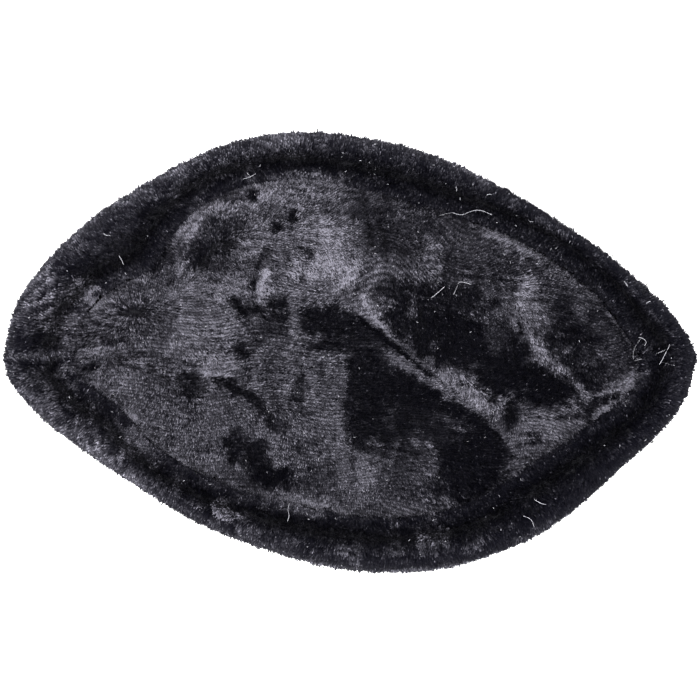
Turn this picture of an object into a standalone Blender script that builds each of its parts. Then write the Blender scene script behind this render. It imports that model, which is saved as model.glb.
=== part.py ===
"""Karakul hat of short curly pile cloth, standing open on a table.

Two side panels meet in a seam at each tip. Each panel rises from the hem, rolls over the rim and turns
back down on the inside, so the rim is a double, padded roll. A creased crown is sewn in between them.
X runs from tip to tip, +Y is the far side, Z is up, and the origin lies on the table under the middle.
"""

import math

import bmesh
import bpy
from mathutils import Vector
from mathutils.geometry import delaunay_2d_cdt, intersect_point_line, intersect_point_tri_2d

MM = 0.001

# The rim seen from above
HALF_LENGTH = 124.2 * MM
FAR_REACH = 78.5 * MM
NEAR_REACH = 75.0 * MM
TIP_LINE = -2.5 * MM  # Y of the line between the two tips, before the hat is centred
CENTRE_SHIFT = 1.56 * MM  # moves the whole hat so that its box is centred on the origin
ROUNDNESS = 0.75
SKEW = 0.155  # each side is fuller towards one tip, so the hat stands a little twisted
SPINE_SHARE = 0.6  # the rim's thickness points at a spine this much shorter than the hat

# The wall
CLOTH = 9.5 * MM  # pile, backing and lining together
BASE_FLARE = 2.5 * MM
TIP_FLARE = 3.0 * MM  # what the hem stands out beyond BASE_FLARE at the tips
BELLY = 2.0 * MM
ROLL_HEIGHT = 10 * MM
HEM_ROUND = 1.6 * MM
TURN_BOTTOM = 62 * MM  # lower edge of the turned-in part
TURN_CHAMFER = 5 * MM
SEAM_GAP = 0.3 * MM

# The crown
CROWN_SEAM = 74 * MM
CROWN_CLOTH = 9.0 * MM
PILLOW_RISE = 8 * MM
PILLOW_EDGE = 9 * MM  # how far in from the seam the crown takes to rise
CROWN_MESH = 4.7 * MM
CROWN_GROOVE = 3.5 * MM  # the mesh has a ring of points this far in from the seam
FOLD_CLEAR = 0.6 * CROWN_MESH  # no other point of the mesh is nearer to a fold line's points
TIP_PLACES = 2  # the crown's edge leaves out this many places at each tip

# How finely the solids are faceted
STEPS_ALONG = 52
STEPS_UP = 8
STEPS_INSIDE = 6  # of those steps, the ones below the turned-in part
STEPS_ROLL = 8

# One row for each place along a side, from the left tip at -1 to the right tip at 1.
# cuff is the width of the rolled rim, rise its height over the table, and push how far the rim stands
# out from the smooth outline. All three are in millimetres.
FAR_ROWS = (
    # place, cuff, rise, push
    (-1.00, 22, 97, 0.0),
    (-0.95, 21, 100, 3.2),
    (-0.82, 21, 103, 1.8),
    (-0.70, 25, 103, 0.5),
    (-0.59, 18, 102, -0.5),
    (-0.42, 14, 100, 0.8),
    (-0.20, 15, 99, 1.7),
    (0.10, 17, 98, 0.7),
    (0.35, 15, 98, -1.0),
    (0.55, 11, 99, -2.1),
    (0.80, 11, 101, -1.1),
    (0.94, 15, 101, -0.8),
    (1.00, 17, 98, 0.0),
)
NEAR_ROWS = (
    # place, cuff, rise, push
    (-1.00, 22, 98, 0.0),
    (-0.96, 20, 101, 1.6),
    (-0.80, 18, 102, -0.6),
    (-0.65, 13, 101, -1.8),
    (-0.40, 14, 99, -0.6),
    (-0.20, 17, 98, 0.0),
    (0.10, 17, 98, 1.0),
    (0.40, 18, 99, 1.2),
    (0.60, 20, 100, 0.1),
    (0.80, 17, 101, -1.1),
    (0.95, 16, 101, 1.8),
    (1.00, 17, 98, 0.0),
)
SIDES = {
    # name: (which way the panel bulges, reach of its rim, rows)
    "side_panel_far": (1, FAR_REACH, FAR_ROWS),
    "side_panel_near": (-1, NEAR_REACH, NEAR_ROWS),
}

# Soft dents that run up the wall: waves along a panel, depth, and where the first one stands.
WALL_WAVES = (
    # count, depth in millimetres, start, lean over the height
    (3.0, 1.1, 0.15, 0.35),
    (7.0, 0.7, 0.60, -0.80),
    (13.0, 0.4, 0.30, 1.10),
)

# Mounds and hollows of the crown, in millimetres: middle, how far each spreads along and across,
# how far it is turned from X in degrees, and its rise.
MOUNDS = (
    # x, y, along, across, turn, rise
    (52, 31, 46, 15, -20, 7),
    (-22, -24, 56, 22, -6, 7),
    (-36, 40, 22, 13, 8, 4),
    (-77, 16, 15, 9, 0, 5),
    (18, -44, 26, 13, 4, 4),
    (62, -6, 27, 12, -15, -11),
    (-73, 37, 12, 9, 35, -11),
    (-32, -35, 13, 6, -20, -4),
    (93, 4, 12, 10, -40, 3),
)
# Creases of the crown: depth, spread to each side, and the points that the fold line goes through.
CREASES = (
    # depth, spread, (x, y) of each point
    (11, 6.5, ((-6, 21), (9, 11.5), (25, -4), (43, -18.5), (55.5, -32), (64, -41))),
    (4, 5.0, ((64, -41), (75, -37), (90, -26), (104, -11))),
    (3, 4.0, ((-101, -2), (-86, 3), (-72, -1), (-55, -6))),
)

PILE_COLOUR = (0.011, 0.010, 0.014, 1.0)
PILE_ROUGHNESS = 0.85


def at_place(rows, column, place):
    """The value of a column at a place along a side, on a smooth curve through the rows."""
    places = [row[0] for row in rows]
    values = [row[column] for row in rows]
    last = len(rows) - 1
    i = min(max(sum(p <= place for p in places) - 1, 0), last - 1)

    def slope(k):
        low, high = max(k - 1, 0), min(k + 1, last)
        return (values[high] - values[low]) / (places[high] - places[low])

    width = places[i + 1] - places[i]
    t = min(max((place - places[i]) / width, 0.0), 1.0)
    start, end = slope(i) * width, slope(i + 1) * width
    rest = values[i + 1] - values[i]
    return values[i] + start * t + (3 * rest - 2 * start - end) * t**2 + (start + end - 2 * rest) * t**3


def rim_point(side, reach, rows, place):
    """The outermost point of the rim at a place along a side, and the level direction of its thickness."""
    across = max(1 - place * place, 0.0) ** ROUNDNESS * (1 - side * SKEW * place)
    point = Vector((HALF_LENGTH * place, TIP_LINE + side * reach * across))
    spine = Vector((HALF_LENGTH * SPINE_SHARE * place, TIP_LINE))
    inward = (spine - point).normalized()
    point -= inward * at_place(rows, 3, place) * MM
    point.y += side * SEAM_GAP / 2
    return point, inward


def wall_stand_out(place, share):
    """How far the wall stands out beyond the rim, at a share of the height from the hem to the roll."""
    run = (place + 1) / 2
    fade = 1 - place**8
    waves = sum(
        depth * MM * math.sin(2 * math.pi * (count * run / 2 + start + lean * share))
        for count, depth, start, lean in WALL_WAVES
    )
    flare = BASE_FLARE + TIP_FLARE * abs(place) ** 3
    return flare * (1 - share) + BELLY * math.sin(math.pi * share) + waves * fade * (1 - share**2)


def wall_section(place, cuff, rise):
    """The section of a side panel as (inset from the rim's outer edge, height), up the outside first."""
    shoulder = rise - ROLL_HEIGHT
    heights = [HEM_ROUND + (shoulder - HEM_ROUND) * k / STEPS_UP for k in range(STEPS_UP)]

    def outer(height):
        return -wall_stand_out(place, min(height / shoulder, 1.0))

    hem = outer(0)
    section = [(hem + HEM_ROUND, 0.0)]
    section += [(outer(z), z) for z in heights]
    for k in range(STEPS_ROLL + 1):
        turn = math.pi * (1 - k / STEPS_ROLL)
        section.append((cuff / 2 * (1 + math.cos(turn)), shoulder + ROLL_HEIGHT * math.sin(turn)))
    section.append((cuff, (shoulder + CROWN_SEAM) / 2))
    section.append((cuff, TURN_BOTTOM))
    inside = TURN_BOTTOM - TURN_CHAMFER
    section.append((outer(inside) + CLOTH, inside))
    section += [(outer(z) + CLOTH, z) for z in reversed(heights[:STEPS_INSIDE])]
    section.append((hem + CLOTH - HEM_ROUND, 0.0))
    return section


def places_along():
    """Places from tip to tip, closer together where the outline turns fast."""
    return [-math.cos(math.pi * k / STEPS_ALONG) for k in range(STEPS_ALONG + 1)]


def pile_material(name):
    material = bpy.data.materials.new(name)
    material.use_nodes = True
    shader = material.node_tree.nodes["Principled BSDF"]
    shader.inputs["Base Color"].default_value = PILE_COLOUR
    shader.inputs["Roughness"].default_value = PILE_ROUGHNESS
    shader.inputs["Metallic"].default_value = 0.0
    shader.inputs["Sheen Weight"].default_value = 0.4
    return material


def add_object(name, mesh_in_work, hat):
    """A finished node: the mesh, smooth where it is round, its own material, and the hat as its parent."""
    bmesh.ops.recalc_face_normals(mesh_in_work, faces=mesh_in_work.faces)
    mesh = bpy.data.meshes.new(name)
    mesh_in_work.to_mesh(mesh)
    mesh_in_work.free()
    mesh.shade_smooth()
    mesh.set_sharp_from_angle(angle=math.radians(50))
    mesh.materials.append(pile_material(name + "_pile"))
    obj = bpy.data.objects.new(name, mesh)
    bpy.context.scene.collection.objects.link(obj)
    obj.parent = hat


def add_side_panel(name, hat):
    """A side panel: one section for each place along it, skinned, with a flat end in each tip's seam."""
    side, reach, rows = SIDES[name]
    work = bmesh.new()
    rings = []
    for place in places_along():
        point, inward = rim_point(side, reach, rows, place)
        section = wall_section(place, at_place(rows, 1, place) * MM, at_place(rows, 2, place) * MM)
        ring = [
            work.verts.new((point.x + inward.x * inset, point.y + inward.y * inset, height))
            for inset, height in section
        ]
        rings.append(ring)
    count = len(rings[0])
    for ring, following in zip(rings, rings[1:]):
        for k in range(count):
            after = (k + 1) % count
            work.faces.new((ring[k], ring[after], following[after], following[k]))
    work.faces.new(rings[0])
    work.faces.new(reversed(rings[-1]))
    add_object(name, work, hat)


def crown_outline(inset=0.0):
    """The crown's edge seen from above, a seam's gap inside the turned-in cloth, or a ring further in."""
    edge = []
    along = places_along()[TIP_PLACES:-TIP_PLACES]
    for name, places in (("side_panel_near", along), ("side_panel_far", along[::-1])):
        side, reach, rows = SIDES[name]
        for place in places:
            point, inward = rim_point(side, reach, rows, place)
            edge.append(point + inward * (at_place(rows, 1, place) * MM + SEAM_GAP + inset))
    return edge


def distance_to_line(point, line):
    """How far a point is from an open line of points."""
    found = []
    for start, end in zip(line, line[1:]):
        foot, share = intersect_point_line(point, start, end)
        foot = start if share < 0 else end if share > 1 else foot.to_2d()
        found.append((point - foot).length)
    return min(found)


def crease_lines():
    """(depth, spread, points of the fold line) of each crease, in metres."""
    return [
        (depth * MM, spread * MM, [Vector(p) * MM for p in points]) for depth, spread, points in CREASES
    ]


def crown_height(point, edge_distance):
    """The crown's upper face: a pillow inside the seam, with its mounds, hollows and creases."""
    rise = 1 - math.exp(-edge_distance / PILLOW_EDGE)
    height = CROWN_SEAM + PILLOW_RISE * rise
    for x, y, along, across, turn, mound in MOUNDS:
        local = Vector((point.x / MM - x, point.y / MM - y))
        angle = math.radians(turn)
        u = (local.x * math.cos(angle) + local.y * math.sin(angle)) / along
        v = (local.y * math.cos(angle) - local.x * math.sin(angle)) / across
        height += mound * MM * math.exp(-u * u - v * v) * rise
    for depth, spread, line in crease_lines():
        height -= depth * math.exp(-distance_to_line(point, line) / spread) * rise
    return height


def inside(point, outline):
    """True if a point lies inside a closed outline, by the triangles that fan out from its middle."""
    middle = sum(outline, Vector((0, 0))) / len(outline)
    closed = outline + outline[:1]
    return any(intersect_point_tri_2d(point, middle, a, b) for a, b in zip(closed, closed[1:]))


def crown_points(outline):
    """Points inside the crown: a ring by the seam, an even triangular mesh, and points along each crease."""
    closed = outline + outline[:1]
    ring = crown_outline(CROWN_GROOVE)
    clear = CROWN_GROOVE + CROWN_MESH / 2
    folds = []
    for _, _, line in crease_lines():
        for start, end in zip(line, line[1:]):
            steps = max(round((end - start).length / CROWN_MESH), 1)
            folds += [start.lerp(end, k / steps) for k in range(steps)]
        folds.append(line[-1])
    folds = [p for p in folds if inside(p, outline) and distance_to_line(p, closed) > clear]
    points = []
    row_step = CROWN_MESH * math.sqrt(3) / 2
    rows = math.ceil(max(FAR_REACH, NEAR_REACH) / row_step)
    columns = math.ceil(HALF_LENGTH / CROWN_MESH)
    for row in range(-rows, rows + 1):
        for column in range(-columns, columns + 1):
            point = Vector(((column + row % 2 / 2) * CROWN_MESH, row * row_step))
            if not inside(point, outline) or distance_to_line(point, closed) < clear:
                continue
            if all((point - fold).length > FOLD_CLEAR for fold in folds):
                points.append(point)
    return ring + points + folds


def add_crown(hat):
    """The crown: a shaped sheet of even thickness, meshed to the points above."""
    outline = crown_outline()
    closed = outline + outline[:1]
    flat = outline + crown_points(outline)
    rim = [(k, (k + 1) % len(outline)) for k in range(len(outline))]
    points, _, faces, _, _, _ = delaunay_2d_cdt(flat, rim, [], 1, 1e-7)
    work = bmesh.new()
    upper, lower = [], []
    for point in points:
        height = crown_height(point, distance_to_line(point, closed))
        upper.append(work.verts.new((point.x, point.y, height)))
        lower.append(work.verts.new((point.x, point.y, height - CROWN_CLOTH)))
    for face in faces:
        work.faces.new([upper[k] for k in face])
        work.faces.new([lower[k] for k in reversed(face)])
    below = dict(zip(upper, lower))
    for edge in [edge for edge in work.edges if edge.is_boundary]:
        a, b = edge.verts
        if a in below and b in below:
            work.faces.new((a, b, below[b], below[a]))
    add_object("crown", work, hat)


def build():
    for obj in list(bpy.data.objects):
        bpy.data.objects.remove(obj)
    hat = bpy.data.objects.new("hat", None)
    bpy.context.scene.collection.objects.link(hat)
    hat.location.y = CENTRE_SHIFT
    for name in SIDES:
        add_side_panel(name, hat)
    add_crown(hat)


build()
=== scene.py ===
import math

import bpy
import numpy as np
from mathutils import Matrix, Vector
from mathutils.bvhtree import BVHTree


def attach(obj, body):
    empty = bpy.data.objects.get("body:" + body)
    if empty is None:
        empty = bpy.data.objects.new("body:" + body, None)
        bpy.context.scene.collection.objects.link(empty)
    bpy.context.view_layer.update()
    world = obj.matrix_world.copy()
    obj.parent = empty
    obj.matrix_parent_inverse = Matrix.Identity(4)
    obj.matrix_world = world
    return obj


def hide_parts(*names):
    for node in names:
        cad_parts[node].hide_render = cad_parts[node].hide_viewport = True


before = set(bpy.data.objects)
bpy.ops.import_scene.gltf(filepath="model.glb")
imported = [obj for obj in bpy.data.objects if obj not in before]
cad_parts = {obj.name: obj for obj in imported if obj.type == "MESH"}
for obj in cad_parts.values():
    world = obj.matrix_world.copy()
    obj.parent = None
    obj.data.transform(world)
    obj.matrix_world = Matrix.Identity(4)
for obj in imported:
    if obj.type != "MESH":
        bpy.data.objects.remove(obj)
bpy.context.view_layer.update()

# The hat stands on a plain white table, and is seen from straight above.
# Soft light comes from all round, and a broad lamp stands to the left on the near side.
MM = 0.001
RIM_LEVEL = 100 * MM
SEEN_WIDTH = 250.6 * MM  # what the picture's width takes in at the level of the rim
CAMERA_HEIGHT = 850 * MM  # over the rim
CAMERA_TILT = math.radians(0.5)
AIM = Vector((0.0, 1.4 * MM, RIM_LEVEL))
SENSOR = 36.0  # the camera's own measure of its picture's width
TABLE_SIDE = 6.0
ROOM_LIGHT = 2.4


def matt(name, colour):
    """An evenly coloured, matt material."""
    material = bpy.data.materials.new(name)
    material.use_nodes = True
    shader = material.node_tree.nodes["Principled BSDF"]
    shader.inputs["Base Color"].default_value = (*colour, 1)
    shader.inputs["Roughness"].default_value = 0.8
    return material


def put_in(name, data):
    """A new object in the scene."""
    thing = bpy.data.objects.new(name, data)
    bpy.context.scene.collection.objects.link(thing)
    return thing


bpy.ops.object.select_all(action="DESELECT")
bpy.ops.mesh.primitive_plane_add(size=TABLE_SIDE, location=(0, 0, 0))
table = bpy.context.object
table.name = "table_top"
table.data.materials.append(matt("table_white", (0.92, 0.92, 0.92)))

camera = put_in("camera", bpy.data.cameras.new("camera"))
bpy.context.scene.camera = camera
camera.data.sensor_width = SENSOR
camera.data.lens = SENSOR * CAMERA_HEIGHT / SEEN_WIDTH
camera.location = AIM + CAMERA_HEIGHT * Vector((0, -math.sin(CAMERA_TILT), math.cos(CAMERA_TILT)))
camera.rotation_euler = (CAMERA_TILT, 0, 0)

LAMPS = (
    # name, place, side, watts
    ("overhead_lamp", (0.1, 0.0, 1.8), 1.3, 90),
    ("near_left_lamp", (-0.75, -0.95, 1.05), 0.9, 26),
    ("far_right_lamp", (0.9, 1.0, 1.2), 1.2, 12),
)
for name, place, side, power in LAMPS:
    lamp = put_in(name, bpy.data.lights.new(name, "AREA"))
    lamp.data.size = side
    lamp.data.energy = power
    lamp.location = place
    lamp.rotation_euler = (Vector(place) - AIM).to_track_quat("Z", "Y").to_euler()

room = bpy.data.worlds.new("room")
bpy.context.scene.world = room
room.use_nodes = True
room.node_tree.nodes["Background"].inputs["Color"].default_value = (1.0, 1.0, 1.0, 1)
room.node_tree.nodes["Background"].inputs["Strength"].default_value = ROOM_LIGHT
bpy.context.scene.view_settings.view_transform = "Standard"


# The backing: the woven ground that the pile grows from, and the plain black cloth of the inside.
# Each of the three pieces is cut from it, turned in at the hem, and sewn along its edges.
PILE_DEPTH = 3.6 * MM  # from the pile's tips down to its ground
TIP_LINE = -0.94 * MM  # Y of the seams at the tips
PLAN_LENGTH = 124.0  # millimetres from the middle to a tip, on the oval that the wall follows
PLAN_WIDTH = 77.0  # and from the middle to a side
ROLL_BOTTOM = RIM_LEVEL - 14 * MM  # the rim's roll reaches down to here on the outside
TURNED_IN = 74 * MM  # the turned-in cloth carries pile down to here, where the crown is sewn on
OUTER_FACING = 0.25  # how much of a normal points outward on the wall's outside
INNER_FACING = -0.2  # and on the turned-in cloth
UNDERSIDE = -0.3  # the Z of a normal below which the roll carries no pile
CROWN_TOP = 0.15  # the Z of a normal over which the crown is sunk under its pile
SEAM_REACH = 0.3 * MM  # points this near the tip line are on the seams
SEAM_SINK = 0.3  # a normal that is shorter than this, once turned into the seam, sinks its point less
SHARP_CORNER = math.radians(50)


def select_alone(thing):
    """Selects one object, and makes it the active one."""
    bpy.ops.object.select_all(action="DESELECT")
    thing.select_set(True)
    bpy.context.view_layer.objects.active = thing


def cloth_copy(name, node):
    """A merged, smoother copy of a piece's solid, with its corners kept."""
    cloth = put_in(name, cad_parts[node].data.copy())
    cloth.data.materials.clear()
    select_alone(cloth)
    bpy.ops.object.mode_set(mode="EDIT")
    bpy.ops.mesh.select_all(action="SELECT")
    bpy.ops.mesh.remove_doubles(threshold=0.00001)
    bpy.ops.mesh.tris_convert_to_quads(face_threshold=math.radians(25), shape_threshold=math.radians(60))
    bpy.ops.mesh.select_all(action="DESELECT")
    bpy.ops.mesh.select_mode(type="EDGE")
    bpy.ops.mesh.edges_select_sharp(sharpness=SHARP_CORNER)
    bpy.ops.transform.edge_crease(value=1.0)
    bpy.ops.object.mode_set(mode="OBJECT")
    smoother = cloth.modifiers.new("smoother", "SUBSURF")
    smoother.levels = smoother.render_levels = 1
    bpy.ops.object.modifier_apply(modifier=smoother.name)
    return cloth


def values_of(items, name, each=3, kind=float):
    """One property of many mesh items, as an array."""
    values = np.empty(len(items) * each, kind)
    items.foreach_get(name, values)
    return values.reshape(-1, each) if each > 1 else values


def points_of(cloth):
    """The places and the normals of a piece's points."""
    return values_of(cloth.data.vertices, "co"), values_of(cloth.data.vertex_normals, "vector")


def skin_of(mesh):
    """The corners of a mesh's triangles and the normals there, each an array of triangles x 3 x 3."""
    mesh.set_sharp_from_angle(angle=SHARP_CORNER)
    mesh.calc_loop_triangles()
    loops = values_of(mesh.loop_triangles, "loops", 3, int)
    at = values_of(mesh.loops, "vertex_index", 1, int)
    return values_of(mesh.vertices, "co")[at[loops]], values_of(mesh.corner_normals, "vector")[loops]


def level_outward(points):
    """The level direction that points out of the hat, at each of the points."""
    out = np.zeros_like(points)
    out[:, 0] = points[:, 0] / PLAN_LENGTH**2
    out[:, 1] = (points[:, 1] - TIP_LINE) / PLAN_WIDTH**2
    return out / np.maximum(np.linalg.norm(out, axis=1, keepdims=True), 1e-12)


def middles(skin):
    """The middle of each triangle and the normal there."""
    normal = skin[1].mean(1)
    return skin[0].mean(1), normal / np.linalg.norm(normal, axis=1, keepdims=True)


def panel_pile_sides(points, normals, panel):
    """Where a side panel carries pile: on the outside, and on the rim with the turned-in part."""
    out = level_outward(points)
    facing = (normals * out).sum(1)
    height = points[:, 2]
    outermost = [  # nothing of the panel lies further out, level with the point
        panel.ray_cast(Vector(point + way * MM), Vector(way))[0] is None
        for point, way in zip(points, out)
    ]
    outside = (facing > OUTER_FACING) & (height < ROLL_BOTTOM) & np.array(outermost)
    rim = (height >= ROLL_BOTTOM) | ((facing < INNER_FACING) & (height > TURNED_IN))
    return outside, rim & (normals[:, 2] > UNDERSIDE)


def backing_cloth(name):
    """Matt black woven cloth: fine crossing threads, and faint unevenness of the dye."""
    material = bpy.data.materials.new(name)
    material.use_nodes = True
    nodes, links = material.node_tree.nodes, material.node_tree.links
    shader = nodes["Principled BSDF"]
    shader.inputs["Roughness"].default_value = 0.9
    shader.inputs["Specular IOR Level"].default_value = 0.15
    place = nodes.new("ShaderNodeUVMap")
    place.uv_map = "cloth"
    threads = []
    for direction in ("X", "Y"):
        wave = nodes.new("ShaderNodeTexWave")
        wave.bands_direction = direction
        wave.inputs["Scale"].default_value = 320.0
        wave.inputs["Distortion"].default_value = 0.6
        wave.inputs["Detail"].default_value = 1.0
        links.new(place.outputs["UV"], wave.inputs["Vector"])
        threads.append(wave)
    weave = nodes.new("ShaderNodeMath")
    weave.operation = "MULTIPLY"
    links.new(threads[0].outputs["Fac"], weave.inputs[0])
    links.new(threads[1].outputs["Fac"], weave.inputs[1])
    dye = nodes.new("ShaderNodeValToRGB")
    dye.color_ramp.elements[0].color = (0.002, 0.002, 0.003, 1)
    dye.color_ramp.elements[1].color = (0.010, 0.010, 0.013, 1)
    links.new(weave.outputs[0], dye.inputs["Fac"])
    links.new(dye.outputs["Color"], shader.inputs["Base Color"])
    bump = nodes.new("ShaderNodeBump")
    bump.inputs["Strength"].default_value = 0.5
    bump.inputs["Distance"].default_value = 0.0002
    links.new(weave.outputs[0], bump.inputs["Height"])
    links.new(bump.outputs["Normal"], shader.inputs["Normal"])
    return material


black_cloth = backing_cloth("black_woven_cloth")


def finish_backing(cloth, node, piled, plan):
    """Sinks the backing under its pile, lays its cloth map, and puts it in the solid's place."""
    points, normals = points_of(cloth)
    laid_out = plan(points)
    seam = (np.abs(points[:, 1] - TIP_LINE) < SEAM_REACH) & (node != "crown")
    normals[seam, 1] = 0
    normals /= np.maximum(np.linalg.norm(normals, axis=1, keepdims=True), SEAM_SINK)
    cloth.data.vertices.foreach_set("co", (points - normals * (PILE_DEPTH * piled)[:, None]).ravel())
    loops = values_of(cloth.data.loops, "vertex_index", 1, int)
    cloth.data.uv_layers.new(name="cloth")
    cloth.data.uv_layers["cloth"].data.foreach_set("uv", laid_out[loops].ravel())
    cloth.data.materials.append(black_cloth)
    cloth.data.shade_smooth()
    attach(cloth, "root")
    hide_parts(node)


def turn_of(points):
    """How far round the hat points are, in radians from the right tip."""
    return np.arctan2((points[:, 1] - TIP_LINE) / PLAN_WIDTH, points[:, 0] / PLAN_LENGTH)


def round_and_up(points):
    """Metres round the hat, and height, of points on a side panel."""
    turns = np.linspace(-math.pi, math.pi, 361)
    step = turns[1] - turns[0]
    run = np.cumsum(np.hypot(PLAN_LENGTH * np.sin(turns), PLAN_WIDTH * np.cos(turns))) * MM * step
    return np.column_stack((np.interp(turn_of(points), turns, run), points[:, 2]))


panels = {}
for node in ("side_panel_far", "side_panel_near"):
    cloth = cloth_copy("backing_" + node, node)
    skin = skin_of(cloth.data)
    panel = BVHTree.FromObject(cloth, bpy.context.evaluated_depsgraph_get())
    panels[node] = skin, *panel_pile_sides(*middles(skin), panel)
    outside, rim = panel_pile_sides(*points_of(cloth), panel)
    finish_backing(cloth, node, outside | rim, round_and_up)

crown_cloth = cloth_copy("backing_crown", "crown")
crown_skin = skin_of(crown_cloth.data)
crown_up = points_of(crown_cloth)[1][:, 2]
finish_backing(crown_cloth, "crown", crown_up > CROWN_TOP, lambda points: points[:, :2])


# The pile of the crown: fine straight fibres, woven in close tufts and crushed in wear.
# Where it lies flat it shines grey, and where it stands up it is nearly black: partly from how steeply the
# hairs stand, and partly as painted sheen and painted shade in their colour.
# How it lies is drawn as patches and streaks in millimetres of the plan.
HAIR_LENGTH = 4.4 * MM
HAIR_WIDTH = 0.24 * MM
HEM_LIFT = 0.3 * MM  # no hair comes nearer to the table
SEEN_FROM_ABOVE = 1.023  # the crown lies below the rim, so from above it looks this much smaller

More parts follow.
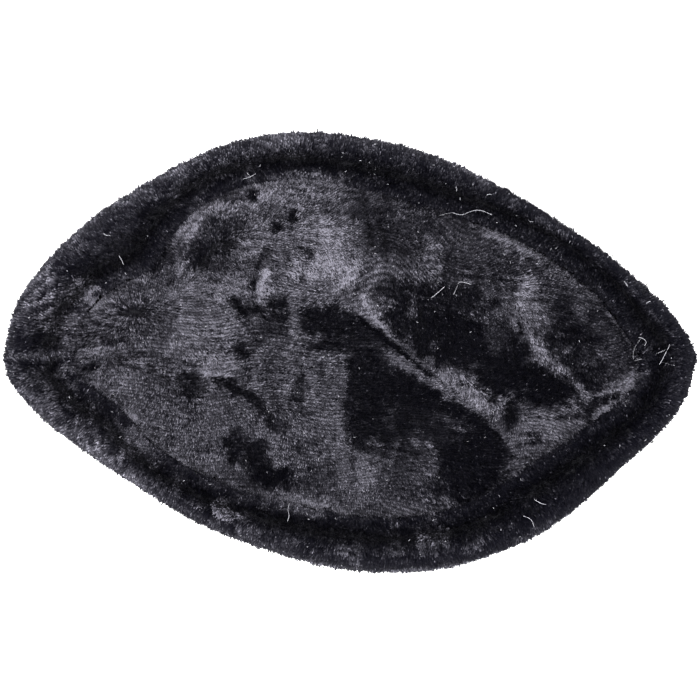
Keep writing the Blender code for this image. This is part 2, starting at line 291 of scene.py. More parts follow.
WEAVE = 1.25 * MM  # from one fine line of the weave to the next
CROWN_ROWS = 0.86 * MM  # from one row of tufts to the next
CROWN_HAIRS = 14  # hairs in a tuft
# Painted glints: the share of the crown's hairs whose colour gets a painted highlight.
CROWN_PAINTED_GLINTS = 0.02  # the share of hairs that catch the light
# The tone is painted sheen and shade; this is its level where no patch lies.
CROWN_SHEEN = 0.52  # where no patch lies
CROWN_SHEEN_PATCHES = (
    # x, y, along, across, turn, tone of painted sheen and shade
    (-92, 1, 17, 12, 0, 0.54),
    (-55, 13, 9, 16, 0, 0.74),
    (-77, 17, 17, 11, -5, 0.46),
    (-82, -6, 10, 6, 0, 0.70),
    (-91, 22, 5, 6, 0, 1.2),
    (-63, 11, 3.0, 11, 8, 0.84),
    (-57.5, 46, 8.5, 4.6, 47, 1.05),
    (-46, 52, 8, 2.6, 12, 0.84),
    (-20, 61, 24, 7, 0, 0.76),
    (-17, 62, 14, 2.5, 0, 1.3),
    (-35, 59, 8, 3.5, 20, 1.0),
    (-44, 55.2, 6, 2.2, 0, 0.38),
    (-38, 49, 6, 3, 10, 0.50),
    (-34, 41, 9, 5, 0, 0.74),
    (-42, 44.5, 3, 2, 10, 0.24),
    (-46, 34, 4, 3, 0, 0.26),
    (-33, 55, 6, 3, 35, 1.0),
    (-54.5, 34.5, 6, 3, 70, 0.06),
    (-55.5, 40, 2.4, 3, 0, 1.0),
    (-47, 42, 5, 5, 0, 0.34),
    (-46, 27, 9, 5, 0, 0.86),
    (-46, 34, 7, 2.5, 0, 0.40),
    (-36, 55.4, 2.5, 2.2, 0, 0.08),
    (-13, 40, 10, 12, 0, 0.72),
    (-10.5, 37, 5, 12, 5, 0.92),
    (-9, 51, 4, 3.4, 0, 0.46),
    (-10.5, 44, 3.5, 4, 0, 1.25),
    (0, 55, 3, 5, 0, 0.34),
    (5, 59.5, 7, 1.8, -8, 0.60),
    (13.5, 54, 2, 4, 0, 0.40),
    (-16, 29.5, 7, 2.5, 0, 1.0),
    (-28.5, 28, 1.8, 3, 0, 0.36),
    (-25, 26, 11, 5, 0, 0.66),
    (-12, 24, 9, 5, 0, 0.60),
    (-1.5, 31, 3.2, 8, -8, 1.2),
    (4.5, 22, 2, 3, 0, 1.0),
    (4.5, 36, 2, 7, 10, 0.55),
    (-15.5, 38.5, 5, 3.4, -10, 0.56),
    (-27, 37, 3, 3, 0, 0.50),
    (-12.5, 35, 3, 2.4, 0, 1.2),
    (-21, 51, 2, 2.2, 0, 1.0),
    (-35, 17.5, 3, 1.8, -10, 0.10),
    (-25, 18.5, 6, 2, 0, 0.10),
    (-26, 13, 5, 4, -30, 0.10),
    (-30, 9, 8, 3, 0, 0.24),
    (-47, 4, 9, 8, 0, 0.74),
    (-35.5, 8, 3, 3.5, 0, 0.36),
    (-40, 0.5, 3.5, 3, 0, 0.14),
    (-8, 11, 13, 6.4, -6, 0.12),
    (-6, 3, 8, 3, 0, 0.12),
    (-12, -7, 2.5, 5, 0, 0.30),
    (9.5, 12, 9, 3.5, -50, 1.3),
    (2, 17.5, 4, 2.5, 0, 1.1),
    (-1.5, 22.5, 3, 2.5, 0, 0.5),
    (5, 5, 13, 6, -25, 0.12),
    (7, 0.5, 7, 3, -10, 0.26),
    (-60, -22, 24, 17, -25, 0.50),
    (-82, -23, 7, 6, 0, 1.2),
    (-73, -31, 6, 5, -35, 1.15),
    (-64, -37, 6, 3.5, -25, 1.05),
    (-70, -27, 4, 3, -25, 0.50),
    (-50, -5, 7, 6, 0, 0.98),
    (-66, 12, 4, 8, 20, 0.45),
    (-58, -11, 3.5, 3, -40, 0.18),
    (-18.5, -9, 2.0, 2.6, 0, 0.14),
    (-20, -4, 5, 1.6, 0, 0.50),
    (-20, -15, 3, 6, 10, 0.26),
    (-26, -24, 4, 2, -20, 0.25),
    (-42, -33, 6, 6, 0, 0.09),
    (-36, -32, 8, 5, -30, 0.13),
    (-29, -42, 12, 5.4, -8, 0.06),
    (-36, -28, 3, 2, -20, 0.40),
    (-25, -36, 4, 3, 0, 0.66),
    (-47, -38, 2.5, 6, 10, 0.60),
    (-78, 39.5, 14, 8, 25, 0.16),
    (-70, 35, 6, 5.5, 0, 0.12),
    (-66, 27, 3.5, 4, 0, 0.34),
    (27, -37, 7, 6, 0, 0.28),
    (0, -46, 20, 11, -8, 0.36),
    (22, -43.5, 13, 8, -20, 0.29),
    (4, -44, 4, 8, 0, 0.60),
    (15, -33.5, 8, 2.6, -10, 0.22),
    (29.5, -42, 2, 5, 0, 0.12),
    (27, -39, 4, 4, 0, 0.50),
    (-14, -54.5, 14, 4, -10, 0.95),
    (-42, -42, 5, 3.4, 0, 0.34),
    (2, -22, 6, 11, 0, 0.12),
    (13, -18, 14, 14, 0, 0.09),
    (4, -6, 8, 8, 0, 0.10),
    (30, -14, 17, 9, -28, 0.06),
    (43.5, -37, 13, 16, -15, 0.06),
    (30, -27, 9, 5, -20, 0.14),
    (12, -23, 3, 3, 0, 0.24),
    (37, -25, 6, 1.8, -20, 0.26),
    (33, -9, 9, 3.4, -38, 0.72),
    (45, -15, 8, 3.2, -36, 0.95),
    (35, -7, 8, 3, -10, 0.84),
    (31, -6, 5, 2.6, -25, 1.3),
    (40, -8.5, 4.6, 2.6, -25, 0.86),
    (69, -26, 12, 6.5, 20, 0.55),
    (68, -17, 8, 2.5, 0, 0.10),
    (56.5, -20, 1.9, 5, 12, 0.06),
    (63, -32, 5.5, 4.6, -30, 0.52),
    (77, -24, 5, 3, 20, 0.64),
    (86.5, -18.5, 4, 2.6, 20, 0.10),
    (84, -7, 8, 5, -25, 0.12),
    (93, -2, 10, 5, 10, 0.14),
    (97, -13, 7, 4, 46, 1.0),
    (88.5, -16, 5, 3, 40, 0.14),
    (93, -15, 5.5, 1.7, 24, 0.12),
    (80.5, -16, 3.2, 3.6, 30, 1.05),
    (84.5, -20.5, 2.2, 3.4, 20, 0.14),
    (89, -21.5, 3, 1.6, 0, 0.80),
    (62, -39.5, 6, 3.6, 10, 0.62),
    (45, 36, 42, 12, -22, 0.335),
    (86, 9, 14, 13, -30, 0.34),
    (10, 45, 7, 10, 30, 0.25),
    (4, 51, 5, 4, 0, 0.20),
    (25, 43, 5, 5, 0, 0.22),
    (27, 33, 4, 6, 0, 0.60),
    (16, 25, 6, 4, 0, 0.20),
    (54, 43, 18, 4.5, -34, 0.95),
    (34, 21, 17, 6, -5, 0.14),
    (18, 12, 4.5, 10, 15, 0.13),
    (30, 2, 10, 4, -28, 0.07),
    (32, 11, 13, 8, -10, 0.10),
    (44, 5, 20, 9, -12, 0.06),
    (62, -8, 17, 8, -12, 0.05),
    (73, -13, 9, 6, 0, 0.04),
    (50.5, -11, 10, 4, -36, 0.06),
    (53, 9, 6, 7, 0, 0.25),
    (60.5, 3, 2.5, 5, 20, 0.05),
    (62, 19.5, 4.5, 8, 5, 0.84),
    (72, 14, 3, 9, 0, 0.26),
    (63, 14, 5, 4, 0, 0.60),
    (77, 14, 4.5, 2.6, 0, 0.08),
    (75, 18, 4, 2.4, 20, 0.12),
    (72, 5.5, 3, 4, 0, 0.14),
    (83, 8, 8, 5, 0, 0.10),
    (90, 12, 7, 8, 30, 0.28),
    (83, 16, 5, 4, 0, 0.45),
    (76, 0, 5, 5, -20, 0.26),
    (86, 14, 4, 3, 0, 0.16),
    (82, 6, 7, 2.6, -5, 0.12),
    (79, -2, 4, 2.6, 0, 0.12),
    (90, -4.5, 5, 2.4, -10, 0.14),
    (93, 13, 3, 4, 0, 0.18),
    (87, 20.5, 5, 2, -30, 0.52),
    (97, 2, 4, 11, -25, 0.26),
    (77, 29, 8, 3.4, -40, 0.60),
)
CROWN_SHEEN_STREAKS = (
    # tone of painted sheen and shade, width, (x, y) of each point
    (1.3, 2.8, ((-93, 23), (-84, 25.6), (-74, 26))),
    (0.22, 2.6, ((-49, 46.5), (-51, 44.5), (-54, 39), (-56.5, 31))),
    (0.05, 3.4, ((-28, 44.5), (-25, 47.5), (-22.5, 48.6))),
    (0.08, 2.2, ((-35.5, 25), (-34.5, 31), (-32, 37))),
    (1.4, 2.4, ((-33.5, 20), (-32, 31))),
    (1.2, 1.2, ((-44, 36), (-40, 40.5))),
    (0.10, 1.4, ((-20, 38.5), (-15, 36.5))),
    (1.4, 1.4, ((-24, 30), (-10, 29.5))),
    (1.0, 1.2, ((-28, 24), (-20, 22))),
    (0.04, 3.0, ((-42.5, 20), (-40.5, 16.5), (-38, 12.5))),
    (0.60, 3.0, ((-22, 18), (-21.5, 6))),
    (0.78, 2.6, ((-62, 12), (-65.5, 4), (-67, -1))),
    (0.20, 1.6, ((-88, 7), (-80, 5))),
    (0.95, 1.6, ((-98, 0.8), (-90, 3.2), (-81, 4.4))),
    (0.05, 1.4, ((-98, 1.4), (-104, -3.0))),
    (0.06, 1.6, ((-97.5, -7.3), (-94.3, -4), (-90, -2.5))),
    (0.24, 1.8, ((-81, 1), (-70, 0.5))),
    (0.18, 1.6, ((-68, -3), (-61, -2), (-55, -4))),
    (0.18, 2.0, ((-62, -9), (-58, -8), (-56, -12))),
    (0.12, 3.2, ((-48, -10), (-40, -13), (-35, -16))),
    (0.20, 2.8, ((-35, -16), (-31, -20), (-28, -24))),
    (0.62, 2.4, ((-16, -6), (-15, -12), (-16, -18), (-19, -25))),
    (0.52, 3.4, ((-9, -4), (-8.5, -12), (-5.5, -28), (-2.5, -45))),
    (0.24, 1.6, ((-18, -32), (-14, -39))),
    (1.25, 3.4, ((-60, -42.5), (-48, -48), (-35, -52), (-20, -56.5), (-5, -58.5), (6, -59))),
    (0.54, 3.4, ((12, 0), (24, -7), (32, -12))),
    (0.80, 1.6, ((4, 18), (12, 9), (20, 1), (27, -5))),
    (0.0, 1.6, ((4, 11.5), (10, 7), (16, 2), (23.5, -4))),
    (0.0, 0.9, ((23.5, -4), (33, -11))),
    (0.70, 3.2, ((24, -7.6), (34, -13.8), (42, -18), (47, -20.4))),
    (0.44, 3.4, ((48, -20), (54, -26), (57.5, -32))),
    (1.5, 0.9, ((86.5, -14), (92, -12), (99, -10.4), (104.5, -6.5))),
    (1.5, 4.4, ((89.5, -21.5), (96, -18), (102, -12), (106, -5))),
    (1.05, 3.8, ((88.5, 23), (94, 14.5), (101, 6.5), (105.6, -0.5))),
    (0.9, 2.0, ((44, -12), (47, -13.6))),
    (0.8, 1.6, ((51.5, -16), (54, -17.5))),
    (0.05, 1.3, ((60, -26.6), (66.5, -27.6))),
    (0.05, 1.1, ((60, -31), (68, -30))),
    (0.10, 1.0, ((72, -22.5), (81, -21))),
    (0.10, 1.4, ((57, -37), (67, -37))),
    (0.14, 0.8, ((57, 42), (58.5, 33))),
    (0.14, 0.8, ((34, 38), (33, 30), (31, 24))),
    (0.02, 1.4, ((60, 12), (61.5, 8.5))),
    (0.10, 1.2, ((66.5, 10), (70, 12.5))),
    (0.9, 1.4, ((62.5, 11), (66, 5.5))),
    (0.9, 3.0, ((67.5, 4), (70, 0))),
    (0.95, 2.6, ((69, 0), (73, -2), (77, -3.8), (80, -6))),
    (0.70, 1.8, ((79, -5), (81.5, -9), (82, -15))),
)


WAVES = 18  # in a ripple, each in a direction of its own
RIPPLE_HEIGHT = 0.7


def ripple(points, size, seed):
    """Smooth unevenness from about -1 to 1 over points in metres, with swells of about the given size."""
    waves = np.random.default_rng(seed)
    way = waves.normal(size=(WAVES, points.shape[1]))
    way *= (2 * math.pi / size / np.linalg.norm(way, axis=1) * waves.uniform(0.7, 1.4, WAVES))[:, None]
    total = np.sin(points @ way.T + waves.uniform(0, 2 * math.pi, WAVES)).sum(1)
    return total * math.sqrt(2 / WAVES) * RIPPLE_HEIGHT


def soft_step(values):
    """0 below 0, 1 above 1, and a soft rise between."""
    t = np.clip(values, 0, 1)
    return t * t * (3 - 2 * t)


def charted(plan, tone, turn, patches, streaks):
    """Lays ragged patches and streaks over the tone, which is painted sheen and shade, and the turn of
    tufts, whose plan is in millimetres.
    """
    rough = 1.3 * ripple(plan * MM, 7 * MM, 11) + 0.9 * ripple(plan * MM, 2.4 * MM, 12)
    for x, y, along, across, slant, patch_tone in patches:
        way = math.radians(slant)
        u = (plan[:, 0] - x) * math.cos(way) + (plan[:, 1] - y) * math.sin(way)
        v = (plan[:, 1] - y) * math.cos(way) - (plan[:, 0] - x) * math.sin(way)
        narrow = min(along, across)
        within = (1 - np.hypot(u / along, v / across)) * narrow
        share = soft_step((within + rough * min(1.0, narrow / 4)) / (1.4 + 0.35 * narrow) + 0.5)
        tone = tone + (patch_tone - tone) * share
        turn = turn + (way - turn) * share * 0.7
    for streak_tone, width, line in streaks:
        for start, end in zip(line, line[1:]):
            start, run = np.array(start), np.array(end) - np.array(start)
            along = np.clip((plan - start) @ run / (run @ run), 0, 1)
            away = np.linalg.norm(plan - start - along[:, None] * run, axis=1)
            share = soft_step((width / 2 - away + rough * 0.25 * min(width, 3)) / min(width, 1.4) + 0.5)
            tone = tone + (streak_tone - tone) * share
    return tone, turn


def brushed(points, ways, size, reach, seed):
    """Unevenness drawn out into streaks, a reach long, along the given directions."""
    steps = np.linspace(-0.5, 0.5, 9) * reach
    return sum(ripple(points + ways * step, size, seed) for step in steps) / len(steps) * 1.8


TRIES = 5  # places drawn for each tuft, of which one is kept
EVENNESS = 0.9  # how far a tuft is moved towards the middle of its square


def tufts_in_rows(skin, chosen, lay_out, rows, round_way, seed):
    """One tuft in each square or cube of rows that lay_out gives: places, normals and two directions."""
    points, normals = skin[0][chosen], skin[1][chosen]
    edges = points[:, 1:] - points[:, :1]
    area = (np.linalg.norm(np.cross(edges[:, 0], edges[:, 1]), axis=1) / 2).cumsum()
    count = int(TRIES * area[-1] / rows**2)
    chance = np.random.default_rng(seed)
    pick = np.searchsorted(area, (np.arange(count) + chance.uniform(size=count)) / count * area[-1])
    pick = np.minimum(pick, len(points) - 1)
    s, t = chance.uniform(size=(2, count))
    s, t = np.where(s + t > 1, 1 - s, s), np.where(s + t > 1, 1 - t, t)
    share = np.column_stack((1 - s - t, s, t))[:, :, None]
    where, up = (points[pick] * share).sum(1), (normals[pick] * share).sum(1)
    up /= np.linalg.norm(up, axis=1, keepdims=True)
    flat = lay_out(where, up) / rows
    _, keep = np.unique(np.floor(flat).astype(int), axis=0, return_index=True)
    where, up = where[keep], up[keep]
    off = (np.floor(flat[keep]) + 0.5 - flat[keep])[:, :2] * rows * EVENNESS
    first = round_way(where)
    first -= up * (up * first).sum(1)[:, None]
    first /= np.linalg.norm(first, axis=1, keepdims=True)
    second = np.cross(up, first)
    if flat.shape[1] == 2:
        where = where + first * off[:, :1] + second * off[:, 1:]
    return where, up, first, second


def shine(tone):
    """How much light a tone gives back, as painted sheen in a hair's colour. Tones are as the eye grades
    them, from 0 to 1 or a little over.
    """
    return (0.07 + 0.93 * np.clip(tone, 0, 2.2)) ** 1.9


TUFT_WIDTH = 0.9  # the spread of a tuft's roots, in hair widths
GATHERED = 0.4  # how far its tips close in again
LIE_SPREAD = 0.22  # radians between hairs of a tuft, in the plane of the cloth
LIFT_SPREAD = 0.12  # and in how far they stand up
ROLL_SPREAD = 0.45  # and in how far they are rolled about their length
FLATTEST = 0.12  # radians that a hair stands up from the cloth, at the least
STEEPEST = 1.5  # and at the most
SHEARED = (0.86, 1.08)  # the shortest and longest cut, as a share of the tuft's length
LONG_HAIRS = 0.06  # the share of hairs that missed the shears
MISSED_BY = 1.2  # and how much longer they are
HAIR_WIDTHS = (0.7, 1.3)  # the thinnest and widest hair, as a share of the tuft's width
TUFT_GRAIN = 0.34  # how unevenly tufts shine
HAIR_GRAIN = 0.66  # and the hairs of one
GRAIN_MEAN = 0.27  # keeps the mean of the shine where it was
WEAVE_GRAIN = 0.45  # how strongly the lines of the weave show
# The brightest painted glint, added to a hair's colour.
PAINTED_GLINT = 0.9  # the brightest glint


def grow(name, tufts, looks, spot, hairs, painted_glints, seed):
    """One mesh of hairs, each a thin triangle that flares from its root to its cut end, in tufts."""
    where, up, first, second = tufts
    lie, lift, tone, length, width = looks
    chance = np.random.default_rng(seed)
    count = len(where) * hairs
    of = np.repeat(np.arange(len(where)), hairs)
    up, first, second = up[of], first[of], second[of]
    spread = chance.normal(0, TUFT_WIDTH * width, (2, count))
    aside = first * spread[0][:, None] + second * spread[1][:, None]
    lie = lie[of] + chance.normal(0, LIE_SPREAD, count)
    lift = np.clip(lift[of] + chance.normal(0, LIFT_SPREAD, count), FLATTEST, STEEPEST)
    flat = first * np.cos(lie)[:, None] + second * np.sin(lie)[:, None]
    way = flat * np.cos(lift)[:, None] + up * np.sin(lift)[:, None]
    top = up * np.cos(lift)[:, None] - flat * np.sin(lift)[:, None]
    roll = chance.normal(0, ROLL_SPREAD, count)
    side = np.cross(top, way) * np.cos(roll)[:, None] + top * np.sin(roll)[:, None]
    reach = length[of] * chance.uniform(*SHEARED, count)
    reach *= np.where(chance.uniform(size=count) < LONG_HAIRS, MISSED_BY, 1)
    root = where[of] - up * PILE_DEPTH + aside
    tip = root + way * reach[:, None] - aside * GATHERED
    half = side * (width / 2 * chance.uniform(*HAIR_WIDTHS, count))[:, None]
    points = np.stack((root, tip + half, tip - half), axis=1)
    points[:, :, 2] = np.maximum(points[:, :, 2], HEM_LIFT)
    mesh = bpy.data.meshes.new(name)
    mesh.from_pydata(points.reshape(-1, 3), [], np.arange(count * 3).reshape(-1, 3))
    rough = np.clip(1 + 0.4 * ripple(where, 30 * MM, 14), 0.5, 1.5)
    rough = (rough * (1.6 - 0.6 * soft_step(tone / 0.4)))[of]  # darker tufts are more uneven
    own = chance.normal(0, TUFT_GRAIN, len(where))[of] + chance.normal(-GRAIN_MEAN, HAIR_GRAIN, count)
    own = np.exp(own * rough - GRAIN_MEAN * rough * (rough - 1))
    weave = tip[:, 1] + 4 * MM * ripple(tip[:, :2], 60 * MM, 13)
    own *= 1 + WEAVE_GRAIN * np.sin(2 * math.pi / WEAVE * weave)
    # Painted light in each hair's colour: the tone's painted sheen and shade, with random grain, and a
    # painted glint on a few hairs.
    painted_glint = PAINTED_GLINT * chance.uniform(0, 1, count) ** 2 * (chance.uniform(size=count) < painted_glints)
    shown = np.repeat(shine(tone)[of] * np.clip(own, 0.1, 5.0) + painted_glint, 3)
    for attribute, values in (("tone", shown), ("along", np.tile((0.0, 1.0, 1.0), count))):
        layer = mesh.attributes.new(attribute, "FLOAT", "POINT")
        layer.data.foreach_set("value", values.astype(np.float32))
    # The map for baking: each hair is a small triangle near its tuft's spot.
    low, high = spot.min(0), spot.max(0)
    spot = 0.01 + 0.98 * (spot - low) / (high - low)
    place = np.repeat(spot[of][:, None], 3, axis=1) + chance.uniform(-0.001, 0.001, (count, 1, 2))
    place += np.array(((0, 0), (0.0012, 0.0024), (-0.0012, 0.0024)))
    mesh.uv_layers.new(name="OFBake").data.foreach_set("uv", np.clip(place, 0, 1).ravel())
    mesh.materials.append(black_pile)
    piece = put_in(name, mesh)
    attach(piece, "root")
    return piece


def pile_fibre(name):
    """Black fibre: near black at the ground, as painted shade down in the pile, and charcoal with a faint
    violet at the cut ends, as painted sheen where the tone is high.
    """
    material = bpy.data.materials.new(name)
    material.use_nodes = True
    nodes, links = material.node_tree.nodes, material.node_tree.links
    shader = nodes["Principled BSDF"]
    shader.inputs["Roughness"].default_value = 0.6
    shader.inputs["Specular IOR Level"].default_value = 0.06
    tone = nodes.new("ShaderNodeAttribute")
    tone.attribute_name = "tone"
    along = nodes.new("ShaderNodeAttribute")
    along.attribute_name = "along"
    # Painted shade: towards the roots the colour falls to the dark A.
    ends = nodes.new("ShaderNodeMath")
    ends.operation = "POWER"
    ends.inputs[1].default_value = 2.5
    links.new(along.outputs["Fac"], ends.inputs[0])
    light = nodes.new("ShaderNodeMath")
    light.operation = "MULTIPLY"
    links.new(tone.outputs["Fac"], light.inputs[0])
    links.new(ends.outputs[0], light.inputs[1])
    fibre = nodes.new("ShaderNodeMix")
    fibre.data_type = "RGBA"
    # A is the fibre's own near-black; B is the painted sheen colour, mixed in by the tone towards the cut
    # ends.
    fibre.inputs["A"].default_value = (0.0014, 0.0014, 0.0031, 1)
    fibre.inputs["B"].default_value = (0.182, 0.177, 0.212, 1)
    links.new(light.outputs[0], fibre.inputs["Factor"])
    links.new(fibre.outputs["Result"], shader.inputs["Base Color"])
    return material


black_pile = pile_fibre("black_pile")


def wandering_rows(places, up):
    """The plan of places on the crown, in rows of the weave that wander a little."""
    return places[:, :2] + 1.5 * MM * ripple(places[:, :2], 40 * MM, 20)[:, None]


def rightward(places):
    """The direction to the right, at each place."""
    return np.tile((1.0, 0, 0), (len(places), 1))


DOWNHILL = 2.8  # how strongly the nap leans downhill on a slope
UPRIGHT = 2.5  # how strongly the crown's hairs stand upright, whatever the slope
HALVES_MEET = 3.0 * MM  # the crown's pile is made as two meshes, which meet at this Y
FACES_UP = 0.1  # cloth faces up where the Z of its normal is more than this

pile_tops = []
for half, sign in (("far", 1), ("near", -1)):
    places, facing = middles(crown_skin)
    chosen = (facing[:, 2] > FACES_UP) & ((places[:, 1] - HALVES_MEET) * sign > 0)
    tufts = tufts_in_rows(crown_skin, chosen, wandering_rows, CROWN_ROWS, rightward, 21)
    pile_tops.append(tufts[0])
    slope = tufts[1][:, :2].copy()
    tufts[1][:, 2] += UPRIGHT
    tufts[1][:] /= np.linalg.norm(tufts[1], axis=1, keepdims=True)
    flat = tufts[0][:, :2]
    # turn is the way of the nap's streaks, tone its painted brightness (painted sheen where it is high,
    # painted shade where it is low), and lie the way that its hairs point.
    turn = 0.9 * ripple(flat, 55 * MM, 31) + 0.25 * ripple(flat, 12 * MM, 32)
    tone = CROWN_SHEEN + 0.08 * ripple(flat, 14 * MM, 33)
    tone, turn = charted(flat / MM / SEEN_FROM_ABOVE, tone, turn, CROWN_SHEEN_PATCHES, CROWN_SHEEN_STREAKS)
    lie = 0.35 * turn - 0.5 + 0.3 * ripple(flat, 20 * MM, 38)
    lie = np.arctan2(np.sin(lie) + DOWNHILL * slope[:, 1], np.cos(lie) + DOWNHILL * slope[:, 0])
    ways = np.column_stack((np.cos(turn), np.sin(turn)))
    tone *= 1 + 0.60 * brushed(flat, ways, 2.6 * MM, 10 * MM, 34) + 0.20 * ripple(flat, 2.0 * MM, 35)
    tone *= 1.18 - 0.42 * np.abs(brushed(flat, ways, 7 * MM, 14 * MM, 39))
    tone = np.clip(tone, 0.02, 1.6)
    lift = 1.32 - 0.50 * np.clip(tone, 0, 1) + 0.08 * ripple(flat, 5 * MM, 36)
    length = HAIR_LENGTH * (1 + 0.05 * ripple(flat, 8 * MM, 37))
    looks = lie, lift, tone, length, HAIR_WIDTH
    grow("pile_crown_" + half, tufts, looks, flat, CROWN_HAIRS, CROWN_PAINTED_GLINTS, 41)


# The pile of the rim: the same cloth, rolled over a soft edge, so its hairs spread and stand up.
# From above it is dark along the roll and at the right, partly as painted shade, and paler where it is
# brushed flat at the left, as painted sheen.
RIM_ROWS = 1.15 * MM
RIM_HAIRS = 11
RIM_HAIR_WIDTH = 1.25 * HAIR_WIDTH
# the share of rim hairs with a painted glint
RIM_PAINTED_GLINTS = 0.012
# The tone is painted sheen and shade; this is its level where no patch lies.
RIM_SHEEN = 0.19  # where no patch lies
# The painted shade round the right end is deepest at this turn.
PAINTED_SHADE_TURN = math.radians(15)  # how far clockwise of the right tip the rim is dimmest
RIM_SHEEN_PATCHES = (
    # x, y, along, across, turn, tone of painted sheen and shade
    (-106, 18, 9, 13, 15, 0.38),
    (-99, 31, 6, 4, 20, 0.12),
    (-99, 18, 4, 4, 0, 0.5),
    (-105, 34.5, 6, 3, 50, 0.30),
    (-98, 42, 9, 4, 42, 0.34),
    (-80, 54, 7, 3, 28, 0.37),
    (-60, 67, 7, 3, 22, 0.30),
    (-104, 8, 6, 10, 0, 0.60),
    (-93.5, 20.5, 3, 4, 0, 1.2),
    (-77, 27, 6, 1.6, 5, 0.55),
    (-24, 73, 13, 5, 10, 0.36),
    (-57, 59, 9, 3.5, 35, 0.28),
    (-84, 42, 15, 7, 33, 0.16),
    (-98, -12, 4.5, 2.5, 0, 0.06),
    (-87, -17.5, 5.5, 2, -42, 0.08),
    (-112, 3.5, 7, 3.5, 0, 0.05),
    (-106, -9, 9, 7, -40, 0.35),
    (-103, -5, 5, 5, -40, 0.66),
    (-93, -19, 7, 2.6, -40, 0.46),
    (-107.5, -2.6, 3, 2.4, 0, 0.6),
    (-113, -14, 6, 3, -50, 0.36),
    (-93, -4, 3, 1.2, 0, 0.11),
    (-97, -25, 10, 5, -32, 0.34),
    (-89, -34, 10, 4, -34, 0.42),
    (-76, -44, 8, 3.5, -33, 0.42),
    (-66, -46, 6, 3, -10, 0.34),
    (-43, -55, 6, 2.5, -22, 1.0),
    (-58, -56, 8, 2.5, -25, 0.22),
    (-17, -55.4, 14, 1.5, -10, 0.6),
    (-38, -61, 4, 3, -20, 0.32),
    (30, -64.5, 4.5, 4, 30, 0.80),
    (0, -69, 5, 4, 0, 0.32),
    (17, -66, 2, 5, 0, 0.34),
    (45, -67, 6, 2, 40, 0.30),
    (-22, 77, 7, 3, 0, 0.34),
    (-36, 68, 12, 3.4, 12, 0.32),
    (-17, 63, 12, 1.8, 0, 1.0),
    (-56, 50, 6, 3, 50, 0.60),
    (-76, -32, 9, 3, -38, 0.55),
    (-10, 79, 6, 2, 0, 0.29),
    (48, 63, 6, 2, -25, 0.27),
    (114, -10, 5, 6, 0, 0.11),
    (66, -63, 8, 2, 30, 0.18),
)
FRINGE = 0.25 * MM  # how far the pile stands out past its own length, all round
FRINGE_SWELLS = (
    # degrees round the hat from the right tip, degrees to each side, millimetres more
    (-178, 8, 0.4),
    (-133, 14, 0.7),
    (-55, 7, 0.5),
    (8, 12, 0.6),
    (88, 16, -0.6),
)
RIM_SHEEN_STREAKS = (
    # tone of painted sheen and shade, width, (x, y) of each point
    (0.42, 2.0, ((-34, 77), (-38, 66))),
    (0.0, 1.6, ((-124, -2.8), (-109, -3))),
    (0.40, 1.6, ((-118, -0.6), (-109, 0.2))),
    (0.7, 1.8, ((99.5, -17), (102.5, -13.5), (105.5, -8))),
    (0.03, 1.4, ((-108, -6.5), (-98, 1.2))),
    (0.04, 1.6, ((-104, -9.2), (-97.5, -7.3), (-94.3, -4), (-90, -2.5))),
)


def fringe(places, up):
    """How far the pile is pushed out level where it faces outward, in metres along each of three axes."""
    turn = np.degrees(turn_of(places))
    more = FRINGE + 0.2 * MM * ripple(places, 40 * MM, 71)
    for middle, reach, swell in FRINGE_SWELLS:
        away = (turn - middle + 180) % 360 - 180
        more += swell * MM * np.exp(-(away / reach) ** 2)
    out = level_outward(places)
    return out * (more * soft_step(2 * (up * out).sum(1)))[:, None]


def curl_sheen(places):
    """The tone of pile that is pressed into soft curls, paler where a curl's hairs lie flat: they lie
    flatter there, and the paleness is painted sheen in their colour.
    """
    curl = ripple(places, 20 * MM, 64) + 0.6 * ripple(places, 8 * MM, 65)
    return 0.34 + 0.20 * np.tanh(1.8 * curl)


def along_wall(places):
    """The level direction round the hat, to the left of outward."""
    out = level_outward(places)
    return np.column_stack((-out[:, 1], out[:, 0], np.zeros(len(places))))


def cubes(places, up):
    """The places themselves, so that tufts keep their distance in all three directions."""
    return places


DOWN = -1.57  # the lie of hairs that point down the wall, from the way round it
STREAK_SLANT = 1.2  # from the lie of the hairs to the streaks in their shine


def streak_ways(tufts, lie):
    """The directions of the streaks in the shine of tufts."""
    slant = lie + STREAK_SLANT
    return tufts[2] * np.cos(slant)[:, None] + tufts[3] * np.sin(slant)[:, None]


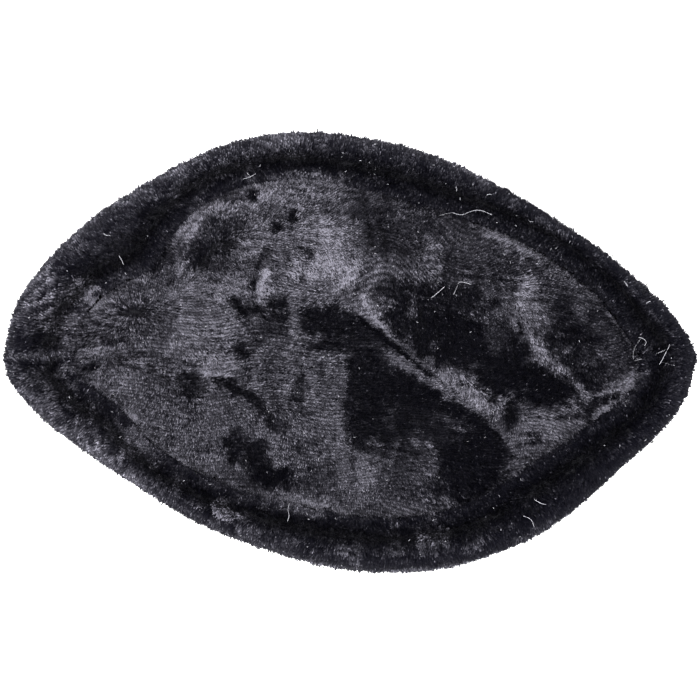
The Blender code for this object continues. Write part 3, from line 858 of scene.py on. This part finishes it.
for node, (skin, _, rim) in panels.items():
    tufts = tufts_in_rows(skin, rim, cubes, RIM_ROWS, along_wall, 51)
    where = tufts[0]
    where += fringe(where, tufts[1])
    pile_tops.append(where[tufts[1][:, 2] > FACES_UP])
    lie = DOWN + 0.5 * ripple(where, 22 * MM, 52)
    outward = (tufts[1] * level_outward(where)).sum(1) + 0.25 * ripple(where, 7 * MM, 59)
    left = soft_step(0.5 - where[:, 0] / (150 * MM))
    # Painted shade: the near right quarter is darkened, and so is the outer edge round the right end.
    painted_shade_near_right = soft_step(where[:, 0] / (60 * MM)) * soft_step(0.3 - where[:, 1] / (30 * MM))
    right = soft_step(0.5 + 0.7 * np.cos(turn_of(where) + PAINTED_SHADE_TURN))
    painted_shade_right_edge = right * soft_step(1.8 * outward - 0.1)
    # Painted shade where the cloth faces inward, and painted sheen on the outer edge at the left.
    tone = RIM_SHEEN * (1 - 0.35 * soft_step(-2 * outward)) + 0.05 * ripple(where, 9 * MM, 53)
    tone += 0.09 * left * soft_step(1.6 * outward - 0.6)
    tone *= (1 - 0.5 * painted_shade_near_right) * (1 - 0.78 * painted_shade_right_edge)
    tone, _ = charted(where[:, :2] / MM, tone, lie, RIM_SHEEN_PATCHES, RIM_SHEEN_STREAKS)
    low = soft_step((RIM_LEVEL - 5 * MM - where[:, 2]) / (9 * MM)) * soft_step(2 * outward)
    tone += (curl_sheen(where) - tone) * low
    streaks = brushed(where, streak_ways(tufts, lie), 3 * MM, 7 * MM, 54)
    tone *= 1 + 0.55 * streaks + 0.30 * ripple(where, 2.2 * MM, 55)
    tone = np.clip(tone, 0.02, 2)
    lift = 1.08 - 0.35 * np.clip(tone, 0, 1) + 0.12 * ripple(where, 6 * MM, 56)
    length = HAIR_LENGTH * (1 + 0.06 * ripple(where, 6 * MM, 57) + 0.07 * ripple(where, 1.8 * MM, 60))
    looks = lie, lift, tone, length, RIM_HAIR_WIDTH
    name = node.replace("side_panel", "pile_rim")
    grow(name, tufts, looks, where[:, :2], RIM_HAIRS, RIM_PAINTED_GLINTS, 58)


# The pile of the outside: brushed down from the rim and pressed into soft curls, with painted sheen where
# their hairs lie flat.
# It is the same cloth, all round the wall from the rim to the hem.
WALL_ROWS = 1.85 * MM
WALL_HAIRS = 12
WALL_HAIR_WIDTH = 1.5 * HAIR_WIDTH
# the share of wall hairs with a painted glint
WALL_PAINTED_GLINTS = 0.012

for node, (skin, outside, _) in panels.items():
    tufts = tufts_in_rows(skin, outside, cubes, WALL_ROWS, along_wall, 61)
    where = tufts[0]
    where += fringe(where, tufts[1])
    lie = DOWN + 1.5 * ripple(where, 26 * MM, 62) + 0.4 * ripple(where, 9 * MM, 63)
    tone = curl_sheen(where)
    streaks = brushed(where, streak_ways(tufts, lie), 3.4 * MM, 9 * MM, 66)
    tone *= 1 + 0.35 * streaks + 0.2 * ripple(where, 2.4 * MM, 67)
    tone = np.clip(tone, 0.03, 1)
    lift = 1.25 - 0.6 * tone + 0.12 * ripple(where, 6 * MM, 68)
    length = HAIR_LENGTH * (1 + 0.10 * ripple(where, 6 * MM, 69))
    looks = lie, lift, tone, length, WALL_HAIR_WIDTH
    name = node.replace("side_panel", "pile_wall")
    grow(name, tufts, looks, round_and_up(where), WALL_HAIRS, WALL_PAINTED_GLINTS, 70)


# Lint: white threads that lie on the pile, caught there in use, and small pale specks scattered over it.
# Most of the threads sit at the right tip and along the far rim, and the specks are all over.
LINT_WIDTH = 0.08 * MM
LINT_LIFT = 0.35 * MM  # over the tops of the tufts
LINT_REACH = 1.5 * MM  # a thread lies on the highest tuft within this
PALE_SPECKS = 240
SPECK_LENGTHS = (0.15, 0.8)  # the shortest and the longest, in millimetres
LINT_THREADS = (
    # (x, y) of each point, in millimetres
    ((103.8, 6.0), (107.4, 5.1), (106.0, 3.0)),
    ((104.3, 5.2), (103.4, 1.5), (104.4, -1.8)),
    ((114.6, 3.4), (113.4, 0.4), (111.0, -3.8)),
    ((104.6, -2.4), (109.0, -0.6), (113.0, 1.4)),
    ((105.6, -1.7), (110.0, -2.2), (116.4, -4.2)),
    ((33, 51), (36.5, 51.6), (40, 50), (43.5, 51.4), (47, 52), (51, 50)),
    ((38, 60), (38.6, 59.2), (38.2, 58.4)),
    ((49, 57), (49.8, 57.6), (50.8, 57.2)),
    ((64, 48), (64.6, 47.2), (65.6, 47.4)),
    ((98, 26), (98.8, 25.2), (99.2, 24.2)),
    ((106, 18), (106.6, 18.8), (107.6, 18.8)),
    ((29.5, 20.5), (32, 22.3), (34.5, 24.6)),
    ((37.8, 21.8), (39, 24.4), (39.8, 27), (44, 25.4)),
    ((-37, 65), (-35.5, 63.6), (-34.4, 61.8)),
    ((-38.4, 63), (-36.4, 63.4), (-34.0, 64.8)),
    ((-82.5, 35), (-81.4, 33.4), (-80.9, 31.8)),
    ((-88, 43), (-87, 42), (-85.6, 42.2)),
    ((-22, -54), (-22.6, -56), (-21.6, -58), (-22.4, -60)),
    ((62, -58), (64.2, -58.6), (65.6, -60.4), (66, -62)),
    ((66, -52), (67.6, -53.4), (70, -54)),
)

pile_tops = np.concatenate(pile_tops)
threads = [np.array(thread) * MM for thread in LINT_THREADS]
chance = np.random.default_rng(81)
for place in pile_tops[chance.integers(0, len(pile_tops), PALE_SPECKS)]:
    way, long = chance.uniform(0, 2 * math.pi), chance.uniform(*SPECK_LENGTHS) * MM
    threads.append(place[:2] + np.outer((-0.5, 0.0, 0.5), (math.cos(way), math.sin(way))) * long)

lint_line = bpy.data.curves.new("lint", "CURVE")
lint_line.dimensions = "3D"
lint_line.bevel_depth = LINT_WIDTH / 2
lint_line.bevel_resolution = 1
for thread in threads:
    line = lint_line.splines.new("NURBS")
    line.points.add(len(thread) - 1)
    for point, (x, y) in zip(line.points, thread):
        away = np.hypot(pile_tops[:, 0] - x, pile_tops[:, 1] - y)
        level = pile_tops[away <= max(LINT_REACH, away.min()), 2].max()
        point.co = (x, y, level + LINT_LIFT, 1)
    line.order_u = 3
    line.use_endpoint_u = True
    line.resolution_u = 4
select_alone(put_in("lint", lint_line))
bpy.ops.object.convert(target="MESH")
lint = bpy.context.object
lint.data.materials.append(matt("white_lint", (0.42, 0.42, 0.46)))
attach(lint, "root")
